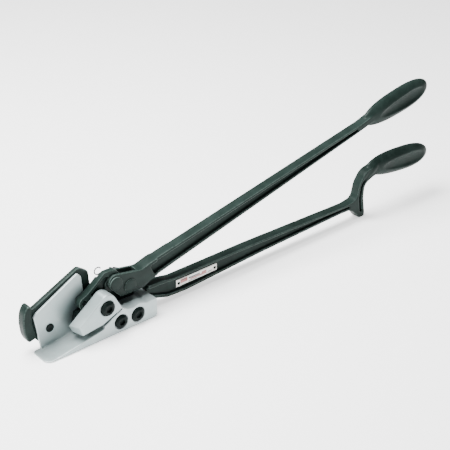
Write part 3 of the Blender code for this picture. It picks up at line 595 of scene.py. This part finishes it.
def make_lower_handle():
    beam = [(147.2, 33.6), (169.0, 32.8, 12.0), (184.0, 29.8, 30.0), (300.0, 30.4, 300.0),
            (480.0, 27.4, 10.0), (500.0, 30.4, 10.0), (505.0, 52.0, 24.0), (516.0, 67.5, 20.0),
            (548.0, 73.5), (548.0, 57.0), (533.0, 55.8, 9.0), (515.5, 49.0, 12.0), (514.4, 29.0, 40.0),
            (517.8, 8.0, 20.0), (518.3, 0.0, 3.0), (507.6, 0.0, 5.0), (499.0, 10.5, 9.0),
            (488.0, 18.0, 14.0), (470.0, 18.2, 60.0),
            (325.0, 12.6, 200.0), (236.0, 7.2, 80.0), (203.0, 5.4, 50.0), (175.0, 6.6, 22.0),
            (147.2, 15.6)]
    handle = slab("lower_handle_forging", beam, BEAM_NEAR, BEAM_FAR, edge=1.0)
    side_frame = [(-6.0, 23.0), (-6.0, 51.6), (62.6, 83.8, 5.0), (75.4, 75.0, 5.0), (77.0, 56.0, 14.0),
                  (85.0, 40.0, 10.0), (103.0, 40.0, 8.0), (107.0, 58.8, 11.0), (132.0, 58.8, 11.0),
                  (141.0, 37.0, 16.0), (168.0, 32.0), (168.0, 9.6), (150.0, 14.0, 10.0), (138.0, 1.0, 8.0),
                  (12.0, 1.0, 8.0)]
    bridge = [(151.0, 32.0), (165.0, 31.6), (165.0, 11.6), (151.0, 16.0)]
    bumper = [(-4.8, 64.4, 3.0), (-12.4, 54.0, 22.0), (-14.4, 40.0, 40.0), (-13.0, 24.0, 22.0),
              (-8.6, 14.2, 3.0), (-4.6, 16.8, 2.0), (-0.6, 16.8, 1.8), (-0.6, 25.0, 2.0),
              (-3.6, 40.0, 50.0), (-1.8, 57.6, 2.0)]
    join(handle, slab("side_frame", side_frame, FRAME_NEAR, FRAME_FAR, edge=0.6),
         slab("frame_bridge", bridge, HANDLE_MID, FRAME_FAR - 1.5),
         slab("nose_bumper", bumper, PLATE_NEAR + 0.6, BUMPER_FAR, edge=1.4))
    bore(handle, "pivot_bore", PIVOT_PIN_RADIUS + FIT, FRAME_NEAR - 3.0, FRAME_FAR + 3.0, MAIN_PIVOT)
    bore(handle, "rivet_bore", NOSE_RIVET_RADIUS + FIT, FRAME_NEAR - 3.0, FRAME_FAR + 3.0, NOSE_RIVET)
    for label, axis in (("front", FRONT_SCREW), ("rear", REAR_SCREW)):
        bore(handle, label + "_thread", SCREW_SHANK_RADIUS + FIT, FRAME_NEAR - 3.0, FRAME_FAR + 3.0, axis)
    rest = [(300.0, 26.8, 200.0), (487.0, 24.2, 1.4), (489.0, 21.6, 1.2), (470.0, 21.6, 60.0),
            (325.0, 16.4, 200.0), (236.0, 11.2, 80.0), (203.0, 9.4, 46.0)]
    near_root = [(144.0, 28.8), (172.0, 27.8, 20.0), (188.0, 26.2, 40.0)]
    far_root = [(170.0, 27.4, 2.5), (188.0, 26.2, 40.0)]
    sink(handle, "lower_recess", near_root + rest + [(177.0, 10.8, 20.0), (144.0, 21.0)], "near")
    sink(handle, "lower_recess", far_root + rest + [(180.0, 10.6, 22.0), (170.0, 14.4, 2.5)], "far")
    beam_recess(handle, "bend_recess",
                [(508.5, 9.0, 1.8), (505.0, 30.0, 20.0), (508.6, 51.0, 18.0), (521.5, 62.6, 2.0),
                 (524.5, 59.4, 1.5), (512.8, 48.5, 10.0), (509.8, 30.0, 30.0), (512.9, 9.0, 1.8)])
    join(handle, egg("lower_neck", (531.0, HANDLE_MID, 64.2), (21.0, 7.8, 8.4), 33.0, 0.0))
    grip(handle, "lower_grip", (585.5, 63.2), -4.0, 61.5, 17.9)
    settle(handle, grain=0.8, softening=9)
    return show(handle, ENAMEL, "green_black_enamel", "frame", "lower_handle_frame")


# --- upper handle ----------------------------------------------------------------

def make_upper_handle():
    head = [(91.0, 69.6, 10.0), (137.0, 60.6, 14.0), (152.0, 65.4, 30.0), (185.0, 72.6), (185.0, 50.4),
            (152.0, 42.0, 30.0), (139.0, 35.8, 14.0), (106.6, 35.8, 6.0), (90.4, 54.5, 8.0)]
    handle = slab("upper_handle_forging", head, NEAR_EAR[0], FAR_EAR[1], edge=0.8)
    taper = [(160.0, 40.0), (200.0, 40.0), (200.0, 90.0), (160.0, 90.0)]
    clevis_back = 131.5
    slot = [(70.0, 10.0), (clevis_back, 10.0, 3.0), (clevis_back, 90.0, 3.0), (70.0, 90.0)]
    cut(handle, slab("head_end_near", taper, -5.0, BEAM_NEAR), slab("head_end_far", taper, BEAM_FAR, 25.0),
        slab("clevis_slot", slot, NEAR_EAR[1], FAR_EAR[0]))
    bore(handle, "ear_pivot_bore", PIVOT_PIN_RADIUS + FIT, -5.0, 25.0, MAIN_PIVOT)
    bore(handle, "ear_drive_bore", DRIVE_PIN_RADIUS + FIT, -5.0, 25.0, DRIVE_PIVOT)
    beam = [(150.0, 64.6), (502.0, 141.2, 20.0), (541.0, 154.0), (543.0, 143.4), (497.0, 130.4, 20.0),
            (150.0, 41.4)]
    join(handle, slab("upper_beam", beam, BEAM_NEAR, BEAM_FAR, edge=1.0))
    beam_recess(handle, "upper_recess",
                [(149.5, 60.2, 3.0), (496.0, 136.2, 1.4), (496.0, 132.9, 1.2), (155.5, 47.2, 3.0)])
    grip(handle, "upper_grip", (573.0, 151.6), 10.5, 62.5, 18.4)
    settle(handle, grain=0.8, softening=9)
    return show(handle, ENAMEL, "green_black_enamel", "lever", "upper_handle")


# --- arm, jaw, spring and dog ------------------------------------------------------

SPRING_WIRE = 1.4
SPRING_RADIUS = 8.4
SPRING_Y = 14.6
HOOK = (84.6, 73.6)        # centre of the loop at the wire's free end, as (x, z)
HOOK_RADIUS = 4.4
FORK_NEAR = 8.9
FORK_FAR = 13.1


def make_arm():
    side = [(111.0, 62.0, 9.0), (103.0, 72.6, 7.0), (88.0, 73.4, 8.0), (74.0, 62.0, 40.0),
            (63.0, 53.8, 20.0), (52.4, 49.4, 7.0), (52.0, 37.2, 6.6), (64.6, 36.4, 7.0),
            (73.5, 44.8, 20.0), (92.0, 46.4, 10.0), (100.0, 44.6, 9.0), (111.0, 47.4, 9.0)]
    arm = slab("gripper_arm_forging", side, ARM_NEAR, ARM_FAR, edge=0.7)
    pocket = [(96.0, 67.2, 2.0), (87.0, 67.4, 6.0), (74.5, 57.6, 20.0), (67.0, 51.5, 1.2),
              (72.0, 49.0, 3.0), (88.0, 50.0, 2.0), (87.5, 58.0, 6.0)]
    fork = [(54.0, 29.0), (66.8, 29.0), (66.8, 46.0, 4.0), (64.8, 49.8, 3.0), (54.0, 49.8, 5.0)]
    cut(arm, slab("arm_pocket", pocket, ARM_NEAR - 3.0, ARM_NEAR + 3.0),
        slab("arm_fork", fork, FORK_NEAR, FORK_FAR))
    bore(arm, "arm_bore", ARM_BUSH_RADIUS + FIT, ARM_NEAR - 3.0, ARM_FAR + 3.0, DRIVE_PIVOT)
    bore(arm, "spring_pocket", SPRING_RADIUS + SPRING_WIRE, SPRING_Y - SPRING_WIRE, ARM_FAR + 3.0,
         DRIVE_PIVOT)
    spring_exit = [(82.0, 64.0), (100.0, 60.0), (100.0, 80.0), (78.0, 80.0)]
    cut(arm, slab("spring_exit", spring_exit, SPRING_Y - SPRING_WIRE, ARM_FAR + 3.0))
    bore(arm, "jaw_pin_bore", JAW_PIN_RADIUS + FIT, ARM_NEAR - 3.0, ARM_FAR + 3.0, JAW_PIVOT)
    settle(arm, grain=0.45, softening=5)
    return show(arm, ENAMEL, "green_black_enamel", "arm", "gripper_arm")


def make_jaw():
    toe_left = Vector((43.6, 12.0))
    toe_right = Vector((54.2, 14.4))
    teeth = 5
    along = (toe_right - toe_left) / teeth
    toe = []
    for i in range(teeth):
        tip = toe_left + along * (i + 0.75)
        toe += [tuple(toe_left + along * i), (tip.x + 0.2, tip.y - 0.9)]
    side = [(48.8, 35.0, 3.0)] + toe + [tuple(toe_right), (62.8, 32.0, 3.0), (61.2, 35.4, 1.5)]
    jaw = slab("toothed_jaw", side, ARM_NEAR + 0.2, ARM_FAR - 0.2)
    tongue = [(56.2, 31.0), (54.4, 43.4), (54.4, 49.2, 4.8), (64.4, 49.2, 4.8), (64.4, 43.0, 7.0),
              (61.2, 31.0)]
    join(jaw, slab("jaw_tongue", tongue, FORK_NEAR + FIT, FORK_FAR - FIT))
    bore(jaw, "jaw_bore", JAW_PIN_RADIUS + FIT, ARM_NEAR, ARM_FAR, JAW_PIVOT)
    settle(jaw, grain=0.3, softening=2)
    return show(jaw, OXIDE, "black_oxide_steel", "jaw", "gripper_jaw")


def make_spring():
    """A coil round the drive pin, whose free end curls up over the arm."""
    leave_angle = math.radians(128.0)
    coil_steps = 72
    points = []
    for i in range(coil_steps + 1):
        left = 1 - i / coil_steps
        angle = leave_angle - 2 * math.pi * left
        points.append((DRIVE_PIVOT[0] + SPRING_RADIUS * math.cos(angle), SPRING_Y + 0.3 - 0.65 * left,
                       DRIVE_PIVOT[1] + SPRING_RADIUS * math.sin(angle)))
    hook_steps = 48
    for i in range(hook_steps + 1):
        angle = math.radians(-62.0 - 272.0 * i / hook_steps)
        points.append((HOOK[0] + HOOK_RADIUS * math.cos(angle), SPRING_Y + 0.3,
                       HOOK[1] + HOOK_RADIUS * math.sin(angle)))
    curve = bpy.data.curves.new("wire_spring", "CURVE")
    curve.dimensions = "3D"
    curve.bevel_depth = SPRING_WIRE / 2 * MM
    curve.bevel_resolution = 4
    curve.use_fill_caps = True
    spline = curve.splines.new("POLY")
    spline.points.add(len(points) - 1)
    for target, point in zip(spline.points, points):
        target.co = (*place(*point), 1.0)
    sketch = bpy.data.objects.new("wire_sketch", curve)
    bpy.context.scene.collection.objects.link(sketch)
    spring = add_mesh("wire_spring", evaluated_mesh(sketch))
    bpy.data.objects.remove(sketch, do_unlink=True)
    spring.data.shade_smooth()
    return show(spring, WIRE_STEEL, "spring_wire", "arm", "arm_spring")


WEB_RELIEF_RADIUS = 10.4
HEAD_RELIEF_RADIUS = 32.8
TIP_LENGTH_X = 50.0
TIP_SKEW = 4.2
TIP_LOW = (15.8, 0.12)     # height of the tip's lower corner, and the slope of the edge there
TIP_HIGH = (28.1, 0.75)


def make_dog():
    side = [(39.8, 28.1, 1.8), (43.6, 15.8, 1.2), (70.8, 19.0, 2.0), (98.9, 30.4, 1.2),
            (93.2, 41.4, 14.0), (88.0, 51.4, 10.0), (78.0, 57.4, 10.0), (69.6, 50.4, 12.0)]
    dog = slab("holding_dog_casting", side, DOG_NEAR, DOG_RIM_FAR, edge=0.9)
    for vertex in dog.data.vertices:
        if vertex.co.x / MM + ORIGIN_X < TIP_LENGTH_X:
            share = (vertex.co.y / MM + ORIGIN_Y - DOG_NEAR) / (DOG_RIM_FAR - DOG_NEAR)
            rise = (vertex.co.z / MM - TIP_LOW[0]) / (TIP_HIGH[0] - TIP_LOW[0])
            slope = TIP_LOW[1] + rise * (TIP_HIGH[1] - TIP_LOW[1])
            vertex.co.x -= TIP_SKEW * share * MM
            vertex.co.z -= TIP_SKEW * share * slope * MM
    web_relief = [(61.0, 10.0), (61.0, 17.8), (66.0, 30.0)]
    for degrees in range(170, 40, -5):
        angle = math.radians(degrees)
        web_relief.append((DOG_PIVOT[0] + WEB_RELIEF_RADIUS * math.cos(angle),
                           DOG_PIVOT[1] + WEB_RELIEF_RADIUS * math.sin(angle)))
    web_relief += [(96.0, 62.0), (115.0, 62.0), (115.0, 10.0)]
    cut(dog, slab("dog_web_relief", web_relief, DOG_FAR, DOG_RIM_FAR + 2.0))
    bore(dog, "dog_bore", DOG_BUSH_RADIUS + FIT, DOG_NEAR - 3.0, DOG_FAR + 1.0, DOG_PIVOT)
    bore(dog, "dog_counterbore", COUNTERBORE_RADIUS, DOG_NEAR - 3.0, DOG_NEAR + DOG_SEAT_DEPTH, DOG_PIVOT)
    bore(dog, "dog_head_relief", HEAD_RELIEF_RADIUS, -0.7, DOG_RIM_FAR + 2.0, MAIN_PIVOT, 180)
    settle(dog, grain=0.45, softening=4)
    return show(dog, DOG_SATIN, "satin_cast_steel", "dog", "holding_dog")


# --- screws, pins and rivets ---------------------------------------------------------

def dome(radius, height, start, steps=10):
    """A dome from its rim to its top, as (radius, y) points that end on the axis."""
    quarter = math.pi / 2
    points = [(radius * math.cos(quarter * i / steps), start - height * math.sin(quarter * i / steps))
              for i in range(1, steps)]
    return points + [(0.0, start - height)]


BUTTON_HEIGHT = 4.8
SOCKET_TURN = math.radians(7.3)


def button_screw(node, piece, axis, radius, seat, end, socket):
    """A button-head screw with a hexagon socket at the bottom of a shallow mouth."""
    height = BUTTON_HEIGHT
    rim = seat - height * 0.25
    shank = SCREW_SHANK_RADIUS
    top = seat - height
    crown = [point for point in dome(radius, height * 0.75, rim, 20) if point[0] > socket + 0.9]
    profile = [(0.0, end), (shank - 0.8, end), (shank, end - 0.8), (shank, seat), (radius - 0.3, seat),
               (radius, seat - 0.3), (radius, rim)] + crown
    profile += [(socket + 0.2, top + 0.9), (0.0, top + 0.9)]
    screw = turned(piece, profile, axis)
    cut(screw, rod(piece + "_socket", socket, top - 2.0, top + height * 0.72, axis, 6, SOCKET_TURN))
    settle(screw, grain=0.26, softening=2)
    return show(screw, OXIDE, "black_oxide_steel", "frame", node)


def headed_pin(node, piece, body, axis, radius, near, far, head_radius, head_near):
    """A round pin whose near head is a low dome with a soft rim."""
    profile = [(0.0, far), (radius - 0.5, far), (radius, far - 0.5), (radius, near),
               (head_radius - 0.2, near), (head_radius, near - 0.2), (head_radius, head_near + 1.1)]
    profile += dome(head_radius, 1.1, head_near + 1.1, 14)
    pin = settle(turned(piece, profile, axis))
    return show(pin, ENAMEL, "green_black_enamel", body, node)


def ring(node, piece, body, slot, look, axis, outer, inner, near, far, chamfer=0.4):
    """A plain ring: a bushing, spacer or washer."""
    profile = [(inner, far - chamfer), (inner + chamfer, far), (outer - chamfer, far), (outer, far - chamfer),
               (outer, near + chamfer), (outer - chamfer, near), (inner + chamfer, near),
               (inner, near + chamfer), (inner, far - chamfer)]
    return show(settle(turned(piece, profile, axis)), look, slot, body, node)


def make_nut():
    nut = rod("hexagon_nut", NUT_RADIUS, NUT_NEAR, NUT_FAR, MAIN_PIVOT, 6)
    crown = [(0.0, NUT_FAR), (9.0, NUT_FAR), (10.9, 34.5), (10.9, 29.8), (9.0, NUT_NEAR),
             (0.0, NUT_NEAR)]
    combine(nut, "INTERSECT", turned("nut_crown", crown, MAIN_PIVOT))
    bore(nut, "nut_bore", PIVOT_PIN_RADIUS + FIT, 26.0, 40.0, MAIN_PIVOT)
    settle(nut, grain=0.3, softening=2)
    return show(nut, OXIDE, "black_oxide_steel", "frame", "main_pivot_nut")


def make_fasteners():
    seat = SHOE_NEAR + COUNTERBORE_DEPTH - FIT
    dog_floor = DOG_NEAR + DOG_SEAT_DEPTH
    shoe_end = FRAME_FAR + 0.6
    button_screw("shoe_screw_front", "front_button_screw", FRONT_SCREW, 8.4, seat, shoe_end, 4.2)
    button_screw("shoe_screw_rear", "rear_button_screw", REAR_SCREW, 8.9, seat, shoe_end, 4.4)
    button_screw("dog_screw", "dog_button_screw", DOG_PIVOT, 9.2, dog_floor - 1.3, WEB_FAR + 0.1, 4.4)
    ring("dog_spring_washer", "dog_washer", "frame", "spring_wire", WIRE_STEEL, DOG_PIVOT, 8.8,
         SCREW_SHANK_RADIUS + FIT, dog_floor - 1.0, dog_floor - 0.3, 0.15)
    ring("dog_bushing", "dog_bush", "dog", "hardened_pin_steel", PIN_STEEL, DOG_PIVOT, DOG_BUSH_RADIUS,
         SCREW_SHANK_RADIUS + FIT, dog_floor + 0.1, DOG_FAR - 0.1)

    headed_pin("main_pivot_pin", "pivot_pin", "frame", MAIN_PIVOT, PIVOT_PIN_RADIUS, 2.2, 36.4, 8.2, 0.2)
    ring("main_pivot_spacer", "pivot_spacer", "frame", "hardened_pin_steel", PIN_STEEL, MAIN_PIVOT, 8.9,
         PIVOT_PIN_RADIUS + FIT, ARM_NEAR, ARM_FAR)
    ring("main_pivot_washer", "pivot_washer", "frame", "black_oxide_steel", OXIDE, MAIN_PIVOT, 11.0,
         PIVOT_PIN_RADIUS + FIT, 26.7, 28.3, 0.3)
    make_nut()
    headed_pin("drive_pin", "lever_drive_pin", "lever", DRIVE_PIVOT, DRIVE_PIN_RADIUS, 2.2,
               FAR_EAR[1] - 0.2, 8.4, -0.2)
    ring("arm_bushing", "arm_bush", "arm", "hardened_pin_steel", PIN_STEEL, DRIVE_PIVOT, ARM_BUSH_RADIUS,
         DRIVE_PIN_RADIUS + FIT, ARM_NEAR + 0.1, SPRING_Y - SPRING_WIRE - 0.2)
    jaw_pin = [(0.0, ARM_FAR - 0.1), (2.6, ARM_FAR - 0.1), (JAW_PIN_RADIUS, ARM_FAR - 0.5),
               (JAW_PIN_RADIUS, ARM_NEAR + 0.5), (2.6, ARM_NEAR + 0.1), (0.0, ARM_NEAR + 0.1)]
    show(settle(turned("jaw_hinge_pin", jaw_pin, JAW_PIVOT)), OXIDE, "hardened_pin_steel", "arm", "jaw_pin")

    head = NOSE_RIVET_HEAD_RADIUS
    rivet = [(0.0, 28.0), (3.0, 28.0), (head, 26.7), (NOSE_RIVET_RADIUS, 26.7),
             (NOSE_RIVET_RADIUS, PLATE_NEAR - FIT), (head, PLATE_NEAR - FIT), (head, PLATE_NEAR - 0.6)]
    rivet += dome(head, 1.0, PLATE_NEAR - 0.6)
    show(settle(turned("nose_plate_rivet", rivet, NOSE_RIVET)), OXIDE, "black_oxide_steel", "frame",
         "nose_rivet")


# --- nameplate ---------------------------------------------------------------------

def make_nameplate():
    back = HANDLE_MID - BEAM_WEB / 2 - FIT
    front = back - 0.7
    side = [(190.6, 12.6, 0.8), (190.6, 22.4, 0.8), (254.4, 22.6, 0.8), (254.4, 13.6, 0.8)]
    plate = slab("printed_nameplate", side, front, back, edge=0.12)
    for label, axis in zip(("front", "rear"), NAMEPLATE_RIVETS):
        bore(plate, "plate_hole_" + label, PLATE_RIVET_RADIUS + FIT, front - 2.0, back + 2.0, axis)
        head = PLATE_RIVET_HEAD_RADIUS
        profile = [(0.0, PLATE_RIVET_END), (PLATE_RIVET_RADIUS, PLATE_RIVET_END),
                   (PLATE_RIVET_RADIUS, front - FIT), (head, front - FIT), (head, front - 0.5)]
        profile += dome(head, 0.6, front - 0.5, 6)
        rivet = settle(turned("plate_rivet_" + label, profile, axis, 32))
        show(rivet, OXIDE, "hardened_pin_steel", "frame", "nameplate_rivet_" + label)
    return show(settle(plate), LABEL, "printed_aluminium", "frame", "nameplate")


# --- floor, light and camera ----------------------------------------------------------

def make_floor():
    bpy.ops.mesh.primitive_plane_add(size=12.0, location=(0.0, 0.0, CAD_LOW.z - 0.0002))
    floor = bpy.context.object
    floor.name = "studio_floor"
    paper = bpy.data.materials.new("studio_paper")
    paper.use_nodes = True
    shader = paper.node_tree.nodes["Principled BSDF"]
    shader.inputs["Base Color"].default_value = (0.93, 0.93, 0.93, 1.0)
    shader.inputs["Roughness"].default_value = 0.9
    shader.inputs["Specular IOR Level"].default_value = 0.1
    shader.inputs["Emission Color"].default_value = (1.0, 1.0, 1.0, 1.0)
    shader.inputs["Emission Strength"].default_value = 1.0
    floor.data.materials.append(paper)


def softbox(name, location, target, size, power):
    light = bpy.data.lights.new(name, "AREA")
    light.shape = "RECTANGLE"
    light.size, light.size_y = size
    light.energy = power
    lamp = bpy.data.objects.new(name, light)
    bpy.context.scene.collection.objects.link(lamp)
    lamp.location = location
    lamp.rotation_euler = (Vector(target) - Vector(location)).to_track_quat("-Z", "Y").to_euler()


def make_lights():
    world = bpy.data.worlds.new("studio_air")
    world.use_nodes = True
    air = world.node_tree.nodes["Background"]
    air.inputs["Color"].default_value = (0.98, 0.99, 1.0, 1.0)
    air.inputs["Strength"].default_value = 0.30
    bpy.context.scene.world = world
    middle = (0.18, 0.0, 0.05)
    softbox("overhead_box", (-0.2, 0.3, 1.5), middle, (1.1, 0.8), 96.0)
    softbox("left_box", (-1.4, 0.3, 0.9), middle, (0.6, 0.6), 22.0)
    softbox("back_box", (-0.4, 1.6, 1.3), middle, (1.8, 0.9), 12.0)


def make_camera():
    camera = bpy.data.cameras.new("studio_camera")
    camera.sensor_width = 36.0
    camera.lens = 88.0
    camera.clip_start = 0.01
    holder = bpy.data.objects.new("studio_camera", camera)
    bpy.context.scene.collection.objects.link(holder)
    turn, drop, distance = math.radians(40.5), math.radians(28.3), 1.3339
    looking = Vector((math.sin(turn) * math.cos(drop), math.cos(turn) * math.cos(drop), -math.sin(drop)))
    target = place(261.45, 0.0, 76.76)
    holder.location = target - looking * distance
    holder.rotation_euler = looking.to_track_quat("-Z", "Y").to_euler()
    bpy.context.scene.camera = holder


make_camera()
make_floor()
make_lights()
make_shoe()
make_lower_handle()
make_upper_handle()
make_arm()
make_jaw()
make_spring()
make_dog()
make_fasteners()
make_nameplate()
